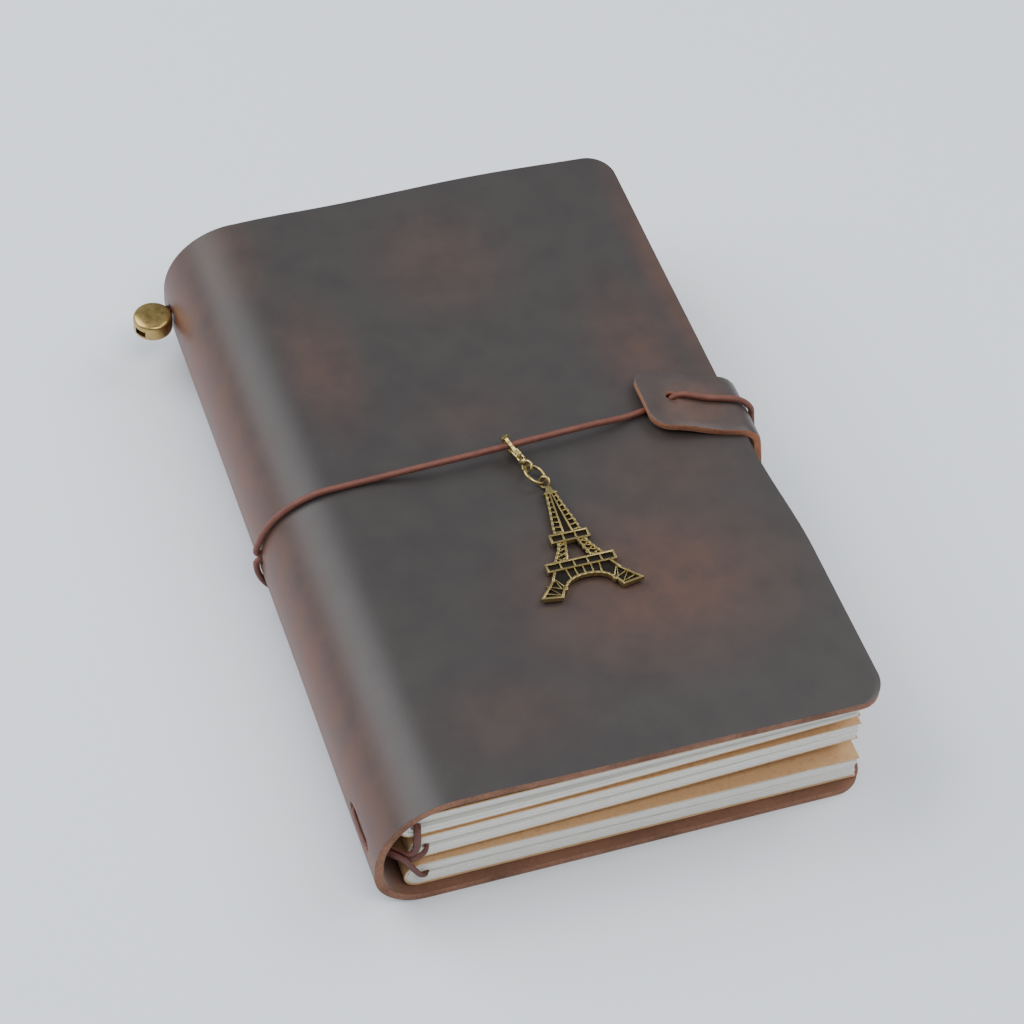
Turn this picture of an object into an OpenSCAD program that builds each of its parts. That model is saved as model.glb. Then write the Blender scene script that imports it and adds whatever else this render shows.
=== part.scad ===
// Refillable leather notebook: one folded leather cover, three stitched booklets held
// at the spine by a binding elastic, and a closing cord with a leather tab and a charm.
// Distances are in millimetres. While drawn, x runs from the spine to the fore-edge,
// y from the foot to the head and z up; place() then centres the notebook.

/* [Leather cover] */
// Width of the closed cover, spine to fore-edge
cover_w = 130; // [104:1:170]
// Height of the cover, foot to head
cover_len = 200; // [160:1:260]
// Thickness of the leather
leather_t = 2.2; // [1.6:0.1:2.8]
// Radius of the two fore-edge corners
corner_r = 8; // [3:0.5:14]
// Outside radius of the lower spine curve
low_r = 12; // [10:0.5:14]
// Outside radius of the upper spine curve
top_r = 15; // [12:0.5:17]
// How far the front cover falls from the spine to the fore-edge
front_fall = 1.5; // [0:0.1:2]

/* [Booklets] */
// Width of a booklet, fold to fore-edge
booklet_w = 118; // [94:1:150]
// Height of a booklet
booklet_len = 193; // [150:1:250]
// Thickness of half a booklet at its fold, without its card
half_t = 3.7; // [2.5:0.1:4.2]
// Thickness of half a booklet at its fore-edge, without its card
edge_half_t = 2.5; // [1.6:0.1:3]
// Thickness of the card covers
card_t = 0.4; // [0.3:0.05:0.6]
// Free height between two booklets at their folds
booklet_gap = 1.4; // [1:0.1:3]
// Rise of the middle booklet from fold to fore-edge
rise_2 = 2.2; // [0:0.1:3]
// Rise of the top booklet from fold to fore-edge
rise_1 = 3; // [0:0.1:4]

/* [Cords] */
// Diameter of the closing cord
cord_d = 2; // [1.4:0.1:2.4]
// Diameter of the binding elastic
elastic_d = 1.3; // [1:0.1:1.5]

/* [Tab] */
// Width of the leather tab
tab_w = 20; // [14:1:28]
// Length of each leg of the tab over the cover
tab_leg = 25; // [18:1:34]
// Thickness of the tab
tab_t = 2.2; // [1.5:0.1:2.5]
// Fall of the tab towards the foot for each millimetre along it
tab_slant = 0.28; // [0:0.02:0.35]

/* [Bead and charm] */
// Diameter of the brass bead
bead_d = 10.8; // [8:0.1:14]
// Thickness of the brass bead
bead_h = 5.2; // [4:0.1:7]
// Length of the charm without its loop
charm_len = 35.5; // [28:0.5:44]
// Width of the charm across its feet
charm_w = 27; // [20:0.5:34]
// Thickness of the charm
charm_t = 1.8; // [1.2:0.1:2.4]
// Outside diameter of the jump ring
ring_d = 7; // [5.5:0.1:9]
// Wire diameter of the jump ring
ring_wire = 0.9; // [0.7:0.05:1.1]
// Length of the clasp
clasp_len = 8.2; // [8:0.2:12]

/* [Hidden] */

leather = "#5a4a44";
kraft = "#c9a67b";
paper = "#dedcd4";
tan_cord = "#8a5040";
dark_cord = "#4e332c";
brass = "#9c8a58";
steel = "#b9bcc0";

clear = 0.3;            // free play between pieces that don't touch
fine = 0.15;            // free play inside small fittings
pin_play = 0.05;        // radial play of a rivet in its lever
$fn = 48;

// Heights of the stack, from the table up
bow_spine = cord_d + 0.3;                 // arch of the back cover at the spine
bow_edge = cord_d + tab_t + 0.5;          // arch of the back cover at the fore-edge
low_3 = leather_t + clear;
mid_3 = low_3 + card_t + half_t;
booklet_h = 2 * (half_t + card_t);
settle = 0.4;                             // the middle booklet settles onto the arch
mid_2 = mid_3 + booklet_h + booklet_gap + bow_spine - settle;
mid_1 = mid_2 + booklet_h + booklet_gap;
head_room = 3.6;                          // the front cover bulges off the top booklet
edge_room = rise_1 + edge_half_t + card_t + clear + front_fall;
total_h = mid_1 + max(booklet_h / 2 + head_room, edge_room) + leather_t;

// Where each booklet's paper starts, from the outside of the spine
fold_1 = 6.5;
fold_2 = 9;
fold_3 = 9;

foot_gap = (cover_len - booklet_len) / 2;
mid_y = cover_len / 2;

// Where the closing loop leaves the spine, and where it crosses the fore-edge
loop_y = mid_y + 1;
loop_z = (low_r + total_h - top_r) / 2;
edge_y = mid_y - 4.6;
tab_out = cover_w + clear;
bead_x = -(bead_d / 2 + clear);
bead_y = cover_len - 10;

// Overall box in x, which place() centres
min_x = bead_x - bead_d / 2;
max_x = tab_out + tab_t + cord_d + 0.1;
mid_x = (min_x + max_x) / 2;

module place() translate([-mid_x, -mid_y, 0]) children();

// ---- small geometry helpers ------------------------------------------------------

function ease(t) = let (k = min(1, max(0, t))) k * k * (3 - 2 * k);

// Arch of the back cover over the cord and the tab: nothing at the head and the foot
function bow(x, y) =
  ease((cover_len * 0.42 - abs(y - mid_y)) / (cover_len * 0.27))
  * (bow_spine + (bow_edge - bow_spine) * min(1, max(0, x / (cover_w - tab_leg))));

function corner_cut(y) =
  let (d = min(y, cover_len - y))
  d >= corner_r ? 0 : corner_r - sqrt(max(0, corner_r ^ 2 - (corner_r - d) ^ 2));

// Joins closed sections, each an even list of points, into one solid. Its two ends are
// closed by strips between the first half of the list and the second half run backwards.
module skin(sections) {
  n = len(sections[0]);
  last = (len(sections) - 1) * n;
  strips = [for (i = [0 : n / 2 - 2]) each [[n - 2 - i, i + 1, i], [n - 1 - i, n - 2 - i, i]]];
  polyhedron(
    points = [for (s = sections) for (p = s) p],
    faces = concat(
      strips,
      [for (r = [0 : n : last - n]) for (i = [0 : n - 1]) let (j = (i + 1) % n)
        each i < n / 2 ? [[r + n + j, r + n + i, r + i], [r + j, r + n + j, r + i]]
          : [[r + j, r + n + i, r + i], [r + n + j, r + n + i, r + j]]],
      [for (f = strips) [last + f[2], last + f[1], last + f[0]]]),
    convexity = 6);
}

function unit(v) = v / norm(v);

// Round tube along a list of points, with a ring at each one
module tube(path, d, sides = 8) {
  last = len(path) - 1;
  skin([for (i = [0 : last])
    let (t = unit(path[min(i + 1, last)] - path[max(i - 1, 0)]),
         up = abs(t[2]) > 0.9 ? [0, 1, 0] : [0, 0, 1],
         a = unit(cross(t, up)),
         b = cross(a, t))
    [for (k = [0 : sides - 1])
      path[i] + d / 2 * (cos(360 * k / sides) * a + sin(360 * k / sides) * b)]]);
}

// ---- leather cover ---------------------------------------------------------------

flat_end = 12;
rows_y = concat(
  [for (a = [0 : 15 : 90]) corner_r * (1 - cos(a))],
  [for (k = [0 : 12]) flat_end + k * (cover_len - 2 * flat_end) / 12],
  [for (a = [90 : -15 : 0]) cover_len - corner_r * (1 - cos(a))]);

module back_cover() color(leather) place() {
  steps = 8;
  skin([for (y = rows_y)
    let (end = cover_w - corner_cut(y),
         xs = [for (k = [0 : steps]) low_r + k * (end - low_r) / steps])
    concat([for (x = xs) [x, y, bow(x, y)]],
           [for (k = [steps : -1 : 0]) [xs[k], y, bow(xs[k], y) + leather_t]])]);
}

// The lower curve flattens where the cover arches over the cord
module back_bend() color(leather) place()
  skin([for (y = rows_y) let (r = low_r - bow(low_r, y), turn = [0 : 10 : 90])
    concat([for (a = turn) [low_r - low_r * cos(a), y, low_r - r * sin(a)]],
           [for (a = [90 : -10 : 0]) [low_r - (low_r - leather_t) * cos(a), y,
             low_r - (r - leather_t) * sin(a)]])]);

module front_bend() color(leather) place()
  translate([top_r, cover_len, total_h - top_r]) rotate([90, 0, 0])
    linear_extrude(cover_len) intersection() {
      difference() {
        circle(top_r, $fn = 96);
        circle(top_r - leather_t, $fn = 96);
      }
      rotate(90) square(2 * top_r);
    }

spine_hole_d = 3;
loop_hole_d = 2 * cord_d + 0.6;
hole_foot_low = 7;
hole_foot_high = 19;
hole_head = cover_len - hole_foot_low;
spine_holes = [hole_foot_low, hole_foot_high, loop_y, hole_head];

module spine_leather() color(leather) place() difference() {
  translate([0, 0, low_r + 0.02])
    cube([leather_t, cover_len, total_h - top_r - low_r - 0.04]);
  for (y = spine_holes)
    translate([-1, y, loop_z]) rotate([0, 90, 0])
      cylinder(h = leather_t + 2, d = y == loop_y ? loop_hole_d : spine_hole_d);
}

front_tilt = atan(front_fall / (cover_w - top_r));

module front_cover() color(leather) place()
  translate([top_r + 0.05, 0, total_h]) rotate([0, front_tilt, 0])
    translate([0, 0, -leather_t]) linear_extrude(leather_t) {
      w = cover_w - top_r - 0.05;
      square([w - corner_r, cover_len]);
      translate([0, corner_r]) square([w, cover_len - 2 * corner_r]);
      for (y = [corner_r, cover_len - corner_r]) translate([w - corner_r, y]) circle(corner_r);
    }

// ---- booklets --------------------------------------------------------------------

// One booklet is drawn from its fold. s is -1 under and 1 over the middle of the pages.
// The middle line climbs by rise, and arch lets the lowest booklet follow the cover.
page_y = [for (k = [0 : 12]) foot_gap + k * booklet_len / 12];
fold_angles = [0 : 18 : 90];

function rise_at(x, fold, rise) = rise * (x - fold) / booklet_w;
function lift(x, y, arch) = arch ? bow(x, y) : 0;

// Line round one half of a booklet at t from its middle: a quarter turn at the fold, then
// straight to the fore-edge, where it is edge_t from the middle
function half_line(y, fold, mid, rise, arch, s, t, edge_t) = concat(
  [for (a = fold_angles) let (x = fold + half_t - t * cos(a))
    [x, y, mid + rise_at(x, fold, rise) + s * t * sin(a) + lift(x, y, arch)]],
  [for (k = [1 : 6]) let (x = fold + half_t + k * (booklet_w - half_t) / 6)
    [x, y, mid + rise_at(x, fold, rise) + s * (t + (edge_t - t) * k / 6)
      + lift(x, y, arch)]]);

crease_gap = elastic_d / 2 + 0.1;
edge_gap = 0.2;

function back(list) = [for (i = [len(list) - 1 : -1 : 0]) list[i]];
function from(list, n) = [for (i = [n : len(list) - 1]) list[i]];

// The same line round the whole booklet, from the lower fore-edge to the upper one
function whole_line(y, fold, mid, rise, arch, t, edge_t) = concat(
  back(half_line(y, fold, mid, rise, arch, -1, t, edge_t)),
  from(half_line(y, fold, mid, rise, arch, 1, t, edge_t), 1));

// Closed booklet: a folded stack from t0 out to t1, with edge thicknesses e0 and e1
module folded(fold, mid, rise, arch, t0, e0, t1, e1) place()
  skin([for (y = page_y) concat(back(whole_line(y, fold, mid, rise, arch, t1, e1)),
    whole_line(y, fold, mid, rise, arch, t0, e0))]);

module page_stack(fold, mid, rise, arch) color(paper)
  folded(fold, mid, rise, arch, crease_gap, edge_gap, half_t, edge_half_t);
module card_wrap(fold, mid, rise, arch) color(kraft)
  folded(fold, mid, rise, arch, half_t + 0.02, edge_half_t + 0.02,
    half_t + card_t, edge_half_t + card_t);

n_fold = len([for (a = fold_angles) a]);

// One leaf of the middle booklet, from its crease to the fore-edge
module leaf(s, t0, e0, t1, e1) place()
  skin([for (y = page_y) let (
      o = from(half_line(y, fold_2, mid_2, rise_2, false, s, t1, e1), n_fold - 1),
      i = from(half_line(y, fold_2, mid_2, rise_2, false, s, t0, e0), n_fold - 1))
    s > 0 ? concat(back(o), i) : concat(o, back(i))]);

module page_half(s) color(paper) leaf(s, crease_gap, edge_gap, half_t, edge_half_t);
module card_half(s) color(kraft)
  leaf(s, half_t + 0.02, edge_half_t + 0.02, half_t + card_t, edge_half_t + card_t);

// Rounded fold of the middle booklet, between radii r0 and r1 about its hinge line
module round_fold(r0, r1)
  translate([fold_2 + half_t - 0.02, foot_gap + booklet_len, mid_2]) rotate([90, 0, 0])
    linear_extrude(booklet_len) intersection() {
      difference() {
        circle(r1);
        circle(r0);
      }
      translate([-2 * r1, -r1]) square([2 * r1, 2 * r1]);
    }

module booklet_2_pages_fold() color(paper) place() round_fold(crease_gap, half_t);
module booklet_2_card_fold() color(kraft) place() round_fold(half_t + 0.02, half_t + card_t);

staple_wire = 0.5;
staple_len = 12;

// Two wire staples through a fold: the crown lies outside and the legs go in
module staples(fold, mid, arch) color(steel) place()
  for (y = [0.28, 0.72] * cover_len) translate([0, y, mid + lift(fold, y, arch)]) {
    crown_x = fold - card_t - staple_wire / 2 - 0.02;
    translate([crown_x, -staple_len / 2, 0]) rotate([-90, 0, 0])
      cylinder(h = staple_len, d = staple_wire, $fn = 16);
    for (e = [-1, 1])
      translate([crown_x, e * (staple_len - staple_wire) / 2, 0]) rotate([0, 90, 0])
        cylinder(h = half_t + card_t + staple_wire, d = staple_wire, $fn = 16);
  }

module booklet_1_card() card_wrap(fold_1, mid_1, rise_1, false);
module booklet_1_pages() page_stack(fold_1, mid_1, rise_1, false);
module booklet_1_staples() staples(fold_1, mid_1, false);
module booklet_2_card_front() card_half(1);
module booklet_2_card_back() card_half(-1);
module booklet_2_pages_front() page_half(1);
module booklet_2_pages_back() page_half(-1);
module booklet_2_staples() staples(fold_2, mid_2, false);
module booklet_3_card() card_wrap(fold_3, mid_3, 0, true);
module booklet_3_pages() page_stack(fold_3, mid_3, 0, true);
module booklet_3_staples() staples(fold_3, mid_3, true);

// ---- binding elastic -------------------------------------------------------------

// Loop through the crease of one booklet and back to the spine at the head and foot.
// z is its height at the spine.
module binding_loop(fold, mid, rise, arch, z) color(dark_cord) place() {
  x = fold + half_t + elastic_d + 0.3;
  m = mid + rise_at(x, fold, rise);
  out = foot_gap - elastic_d / 2 - clear;
  foot = [[leather_t + 1, hole_foot_low, z], [leather_t + 2, hole_foot_low - 2, z],
    [fold - card_t - 1.2, out + 0.6, z + 0.4 * (m - z)], [fold + 0.3, out, z + 0.7 * (m - z)],
    [fold + half_t - 1, out, m], [x - 0.3, out + 0.4, m], [x, out + 1.4, m]];
  head = [for (p = back(foot)) [p[0], cover_len - p[1], p[2]]];
  tube([each foot,
    each [for (k = [1 : 11]) [x, page_y[k], m + lift(x, page_y[k], arch)]],
    each head], elastic_d);
}

loop_pitch = elastic_d + 0.2;
module binding_loop_1() binding_loop(fold_1, mid_1, rise_1, false, loop_z + loop_pitch);
module binding_loop_2() binding_loop(fold_2, mid_2, rise_2, false, loop_z);
module binding_loop_3() binding_loop(fold_3, mid_3, 0, true, loop_z - loop_pitch);

// Short stitch outside the spine between the two holes at the foot
module binding_stitch() color(dark_cord) place() {
  out = -elastic_d / 2 - 0.1;
  tube([for (p = [[leather_t + 0.2, 0], [0.6, 0.1], [out, 1.2], [out, 6], [out, 10.8],
      [0.6, 11.9], [leather_t + 0.2, 12]])
    [p[0], hole_foot_low + p[1] / 12 * (hole_foot_high - hole_foot_low), loop_z]], elastic_d);
}

// ---- bead on the tail of the elastic ---------------------------------------------

tail_angle = 35;
tail_w = 2 * elastic_d + 0.6;
tail_h = elastic_d + 0.5;
bead_edge = 0.8;

// Flat round bead with bevelled rims and a slot right through it
module bead() color(brass) place() translate([bead_x, bead_y, loop_z]) difference() {
  rotate_extrude() polygon([
    [0, bead_h / 2], [bead_d / 2 - bead_edge, bead_h / 2],
    [bead_d / 2, bead_h / 2 - bead_edge], [bead_d / 2, bead_edge - bead_h / 2],
    [bead_d / 2 - bead_edge, -bead_h / 2], [0, -bead_h / 2]]);
  rotate(tail_angle) cube([2 * bead_d, tail_w, tail_h], center = true);
}

// Two ends of the elastic lie side by side from the spine's hole through the bead
module binding_tail() color(dark_cord) place() {
  way = [cos(tail_angle), sin(tail_angle), 0];
  side = [-sin(tail_angle), cos(tail_angle), 0];
  for (e = [-1, 1])
    tube([for (k = [-0.44, 0, 0.44, 0.62]) [bead_x, bead_y, loop_z] + way * k * bead_d
      + side * e * (elastic_d / 2 + 0.05)], elastic_d);
}

// ---- closing cord, knot and tab --------------------------------------------------

cord_r = cord_d / 2;
lie = cord_r + 0.15;                      // height of a cord's middle over the leather
function front_z(x) = total_h - max(0, x - top_r) * tan(front_tilt);
under_step = cord_d + 0.2;                // the tab's ends ride over the cord
leg_x = cover_w - tab_leg;
hole_s = 7.5;                             // from the end of a leg to its hole
top_s = front_z(cover_w) + 0.1;
low_s = bow_edge - 0.1;
wall_x = cover_w + clear;
wall_len = top_s - low_s;
half_way = tab_leg + wall_len / 2;

// Middle of the tab towards the head, at s along it from the front end
function tab_y(s) = edge_y - tab_slant * (s - half_way);
function end_lift(s) = under_step * (1 - ease((s - hole_s + 1.5) / 4));

// Inner face of the tab as [x, z, outward x, outward z] at s along it
function tab_face(s) =
  abs(s - tab_leg) < 0.1 ? [wall_x, top_s, 0.8, 0.8]
  : abs(s - tab_leg - wall_len) < 0.1 ? [wall_x, low_s, 0.8, -0.8]
  : s < tab_leg ? [leg_x + s, front_z(leg_x + s) + 0.1 + end_lift(s), 0, 1]
  : s < tab_leg + wall_len ? [wall_x, top_s - (s - tab_leg), 1, 0]
  : let (q = s - tab_leg - wall_len)
    [cover_w - q, low_s - end_lift(tab_leg - q), 0, -1];

leg_s = [0, 3, each [hole_s - 2.5 : 1 : hole_s + 4], 0.6 * tab_leg, 0.8 * tab_leg,
  tab_leg - 0.5];
tab_s = concat(leg_s, [tab_leg],
  [for (k = [0 : 6]) tab_leg + 0.6 + k * (wall_len - 1.2) / 6], [tab_leg + wall_len],
  [for (s = back(leg_s)) 2 * half_way - s]);

module tab() color(leather) place() difference() {
  skin([for (s = tab_s) let (f = tab_face(s), y = tab_y(s), t = tab_t)
    [[f[0], y - tab_w / 2, f[1]], [f[0] + f[2] * t, y - tab_w / 2, f[1] + f[3] * t],
     [f[0] + f[2] * t, y + tab_w / 2, f[1] + f[3] * t], [f[0], y + tab_w / 2, f[1]]]]);
  for (s = [hole_s, 2 * half_way - hole_s]) let (f = tab_face(s))
    hull() for (e = [-1.5, 1.5])
      translate([f[0] + e, cord_y(s < half_way ? s + e : s - e), f[1] - 5])
        cylinder(h = 10, d = cord_d + 1);
}

// Middle of the cord towards the head, at s along the tab
function cord_y(s) = let (q = min(s, 2 * half_way - s))
  tab_y(s) + (q < hole_s ? 2.6 * q / hole_s - 1.8 : 0.8 - 0.02 * (q - hole_s));

// Point of the cord at s along the tab, off the tab's outer face (side 1) or under it
function on_tab(s, side) = let (f = tab_face(s), o = side > 0 ? tab_t + lie : -lie)
  [f[0] + f[2] * o, cord_y(s), f[1] + f[3] * o];

function loop_front(x) =
  loop_y - 2 + x / leg_x * (tab_y(0) - loop_y - 0.5) - charm_pull * near_clasp(x);
function loop_back(x) = loop_y - 1 + x / leg_x * (tab_y(2 * half_way) - loop_y - 0.2);

// The clasp props the cord off the cover a little, and the charm pulls it to the foot
clasp_x = 0.511 * cover_w;
cord_prop = 1.9;
charm_pull = 1.6;
function near_clasp(x) = ease((0.29 * cover_w - abs(x - clasp_x)) / (0.14 * cover_w));
function front_lie(x) = front_z(x) + lie + cord_prop * near_clasp(x);

module closing_cord_front() color(tan_cord) place() {
  bend = top_r + lie;
  tube([[leather_t, loop_y, loop_z + cord_r + 0.05],
    [0.4, loop_y, loop_z + cord_r + 0.1], [-0.8, loop_y, loop_z + cord_r + 0.5],
    [-lie - 0.05, loop_y, loop_z + cord_d + 0.6],
    each [for (a = [5 : 8.5 : 90])
      [top_r - bend * cos(a), loop_y + (loop_front(top_r) - loop_y) * a / 90,
       total_h - top_r + bend * sin(a)]],
    each [for (k = [1 : 8]) let (x = top_r + k * (leg_x - top_r) / 8.6)
      [x, loop_front(x), front_lie(x)]],
    on_tab(0.5, -1), on_tab(hole_s - 2.6, -1), on_tab(hole_s - 1.4, -1) + [0, 0, 0.3],
    on_tab(hole_s - 0.2, -1) + [0, 0, lie + 0.4 * tab_t], on_tab(hole_s + 1.2, 1) - [0, 0, 0.6],
    on_tab(hole_s + 2.6, 1), on_tab(hole_s + 7, 1), on_tab(tab_leg - 5, 1),
    on_tab(tab_leg - 0.8, 1), on_tab(tab_leg, 1) + [0.15, 0, 0.1], on_tab(tab_leg + 1.5, 1),
    each [for (k = [1 : 4]) on_tab(tab_leg + k * wall_len / 8, 1)]], cord_d);
}

module closing_cord_back() color(tan_cord) place() {
  bend_x = low_r + lie;
  bend_z = low_r - bow_spine + lie;
  end = 2 * half_way;
  tube([[leather_t, loop_y, loop_z - cord_r - 0.05],
    [0.4, loop_y, loop_z - cord_r - 0.1], [-0.8, loop_y, loop_z - cord_r - 0.5],
    [-lie - 0.05, loop_y, loop_z - cord_d - 0.6],
    each [for (a = [5 : 8.5 : 90])
      [low_r - bend_x * cos(a), loop_y + (loop_back(low_r) - loop_y) * a / 90,
       low_r - bend_z * sin(a)]],
    each [for (k = [1 : 6]) let (x = low_r + k * (leg_x - low_r) / 6.5, y = loop_back(x))
      [x, y, bow(x, y) - lie]],
    on_tab(end - 0.5, -1), on_tab(end - hole_s + 2.6, -1),
    on_tab(end - hole_s + 1.4, -1) - [0, 0, 0.3],
    on_tab(end - hole_s + 0.2, -1) - [0, 0, lie + 0.4 * tab_t],
    on_tab(end - hole_s - 1.2, 1) + [0, 0, 0.6], on_tab(end - hole_s - 2.6, 1),
    on_tab(end - hole_s - 7, 1), on_tab(end - tab_leg + 5, 1),
    on_tab(end - tab_leg + 0.8, 1), on_tab(end - tab_leg, 1) + [0.15, 0, -0.1],
    on_tab(end - tab_leg - 1.5, 1),
    each [for (k = [3 : -1 : 0]) on_tab(half_way + k * wall_len / 8 + 0.15, 1)]], cord_d);
}

// Both ends of the loop are knotted behind the spine
module cord_knot() color(tan_cord) place()
  translate([leather_t + 0.55 * loop_hole_d + 0.2, loop_y, loop_z]) sphere(d = 1.1 * loop_hole_d);

// ---- clasp, jump ring and charm --------------------------------------------------

// The chain hangs towards the foot. ring_tip is the ring's lean off the cover, and the
// two angles on the ring are where the clasp's eye and the charm's eye hold it.
ring_r = (ring_d - ring_wire) / 2;
ring_tip = 28;
eye_at = 150;
charm_at = -40;
eye_wire = 0.8;
eye_r = 1.4;
swing_eye = 22;
swing_charm = 20;

hook_r = 3.1;
hook_hole_r = 2.15;
clasp_w = 1.8;
clasp_roll = -68;
hook = [clasp_x, loop_front(clasp_x), front_lie(clasp_x) + 0.4];
eye = hook + [0.25 * clasp_len, -0.95 * clasp_len, -0.3];
ring_side = [-cos(ring_tip), 0, sin(ring_tip)];
function on_ring(a) = ring_r * (cos(a) * [0, -1, 0] + sin(a) * ring_side);
function ring_way(a) = -sin(a) * [0, -1, 0] + cos(a) * ring_side;
ring_mid = eye - on_ring(eye_at);
charm_eye = ring_mid + on_ring(charm_at);

function about_x(v, a) = [v[0], v[1] * cos(a) - v[2] * sin(a), v[1] * sin(a) + v[2] * cos(a)];

// Turns local z to the direction v
module aim(v) rotate([0, acos(v[2] / norm(v)), atan2(v[1], v[0])]) children();

module wire_ring(r, wire) rotate_extrude() translate([r, 0]) circle(d = wire, $fn = 24);

pivot = [4.3, -0.9];
rivet_d = 1;
lever_w = 0.8;
lever_open = 22;

module clasp_frame() translate(hook)
  rotate([0, -asin((eye[2] - hook[2]) / norm(eye - hook)),
          atan2(eye[1] - hook[1], eye[0] - hook[0])])
    rotate([clasp_roll, 0, 0]) children();

// Part of the hook's rim that the lever closes
module gate_wedge(grow) polygon([[0, 0], for (a = [-105 - grow, -75, -45, -15 + grow])
  2 * hook_r * [cos(a), sin(a)]]);

module clasp_body() color(brass) place() {
  neck = clasp_len - eye_r - eye_wire / 2 - 0.4;
  clasp_frame() difference() {
    union() {
      translate([0, 0, -clasp_w / 2]) linear_extrude(clasp_w) difference() {
        union() {
          circle(hook_r);
          polygon([[1.5, 2.4], [4, 2.3], [neck, 1.1], [neck, -1.1], [5.5, -2.1], [2.6, -1.9]]);
        }
        circle(hook_hole_r);
        gate_wedge(4);
      }
      translate([neck, 0, 0]) sphere(1.15);
    }
    translate([1.2, -4, -lever_w / 2 - fine]) cube([5, 4.4, lever_w + 2 * fine]);
    translate([pivot[0], pivot[1], -clasp_w]) cylinder(h = 2 * clasp_w, d = rivet_d);
  }
  translate(eye) aim(about_x(ring_way(eye_at), -swing_eye)) wire_ring(eye_r, eye_wire);
}

module clasp_lever() color(brass) place() clasp_frame()
  translate([0, 0, -lever_w / 2]) difference() {
    linear_extrude(lever_w) polygon([
      for (a = [-103 : 8 : -47]) (hook_r - 0.1) * [cos(a), sin(a)],
      [3.3, -2.1], [4.6, -1.7], [5.05, -1.2], [5.1, -0.7], [4.3, -0.1], [3.4, -0.4],
      for (a = [-23 : -8 : -103]) (hook_hole_r + 0.1) * [cos(a), sin(a)]]);
    translate([pivot[0], pivot[1], -1]) cylinder(h = lever_w + 2, d = rivet_d + 2 * pin_play);
  }

module clasp_rivet() color(brass) place() clasp_frame()
  translate([pivot[0], pivot[1], -clasp_w / 2]) cylinder(h = clasp_w, d = rivet_d);

module clasp_spring() color(steel) place() clasp_frame()
  translate([3.3, 0.05, -0.3]) cube([2.4, 0.2, 0.6]);

module jump_ring() color(brass) place() translate(ring_mid)
  aim(cross([0, -1, 0], ring_side)) wire_ring(ring_r, ring_wire);

// Flat cast tower, drawn with its feet at y = 0 and its top at charm_len
beam_low = 0.245 * charm_len;
beam_high = 0.49 * charm_len;
beam_t = 0.065 * charm_len;
function leg_half(y) = y < beam_high
  ? charm_w * (0.27 - 0.13 * ease((y - beam_low) / (beam_high - beam_low)))
  : charm_w * (0.14 - 0.09 * ease((y - beam_high) / (charm_len - beam_high)));

module tower_outline() {
  difference() {
    union() {
      polygon([for (s = [-1, 1]) for (k = [0 : 8]) let (t = s < 0 ? k : 8 - k,
        y = beam_low + t * (charm_len - beam_low) / 8) [s * leg_half(y), y]]);
      polygon([[-0.27 * charm_w, beam_low], [-0.5 * charm_w, 0.02 * charm_len],
        [-0.29 * charm_w, 0], [-0.25 * charm_w, 0.07 * charm_len],
        for (a = [165 : -15 : 15]) [0.24 * charm_w * cos(a), charm_len * (0.06 + 0.1 * sin(a))],
        [0.25 * charm_w, 0.07 * charm_len], [0.29 * charm_w, 0],
        [0.5 * charm_w, 0.02 * charm_len], [0.27 * charm_w, beam_low]]);
    }
    polygon([[-0.12 * charm_w, beam_low + beam_t], [0.12 * charm_w, beam_low + beam_t],
      [0.05 * charm_w, beam_high - beam_t / 2], [-0.05 * charm_w, beam_high - beam_t / 2]]);
  }
  translate([-0.33 * charm_w, beam_low]) square([0.66 * charm_w, beam_t]);
  translate([-0.18 * charm_w, beam_high]) square([0.36 * charm_w, beam_t]);
  translate([-0.065 * charm_w, 0.95 * charm_len]) square([0.13 * charm_w, 0.05 * charm_len]);
}

charm_neck = 0.9;
module tower_charm() color(brass) place() {
  translate(charm_eye + [0, -eye_r - charm_neck - charm_len, -charm_t / 2])
    linear_extrude(charm_t) tower_outline();
  translate(charm_eye - [0, eye_r, 0]) rotate([90, 0, 0])
    cylinder(h = charm_neck + 0.6, d = 1.1, $fn = 24);
  translate(charm_eye) aim(about_x(ring_way(charm_at), -swing_charm)) wire_ring(eye_r, eye_wire);
}

back_cover();
back_bend();
spine_leather();
front_bend();
front_cover();
booklet_1_card();
booklet_1_pages();
booklet_1_staples();
booklet_2_card_front();
booklet_2_card_back();
booklet_2_card_fold();
booklet_2_pages_front();
booklet_2_pages_back();
booklet_2_pages_fold();
booklet_2_staples();
booklet_3_card();
booklet_3_pages();
booklet_3_staples();
binding_loop_1();
binding_loop_2();
binding_loop_3();
binding_stitch();
binding_tail();
closing_cord_front();
closing_cord_back();
cord_knot();
tab();
clasp_body();
clasp_lever();
clasp_rivet();
clasp_spring();
jump_ring();
tower_charm();
bead();
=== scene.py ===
import math
import random

import bmesh
import bpy
from mathutils import Matrix, Vector, noise


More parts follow.
